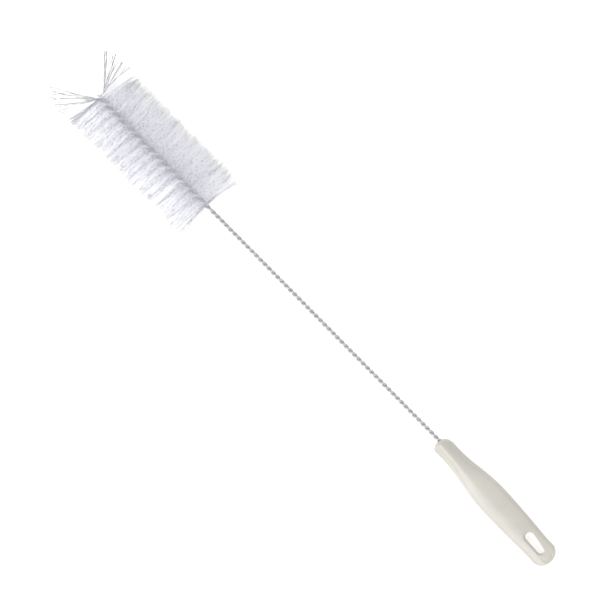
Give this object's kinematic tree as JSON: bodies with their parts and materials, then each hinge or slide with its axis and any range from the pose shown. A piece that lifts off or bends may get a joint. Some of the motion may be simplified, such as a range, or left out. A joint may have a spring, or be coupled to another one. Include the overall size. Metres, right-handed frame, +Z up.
{
  "type": "bottle brush",
  "caption": "Twisted-in-wire bottle brush: a round bristle head with a splayed tip tuft, a twisted wire stem and a flat plastic handle with a hanging slot.",
  "frame": {"origin": "centre of the bounding box's base, on the surface that the brush lies on", "axes": "+X from the tip of the head towards the handle, +Y to the side, +Z up; the stem's axis falls 4.4 degrees towards the handle"},
  "size_m": [0.4061, 0.0526, 0.0571],
  "materials": {
    "handle": "satin, warm off-white, moulded",
    "wire": "galvanised, slightly dull",
    "bristles": "clear to pale grey nylon filament"
  },
  "bodies": {
    "root": {"handle": "handle", "stem_wire": "wire", "head_bristles": "bristles", "tip_tuft": "bristles"}
  },
  "joints": []
}
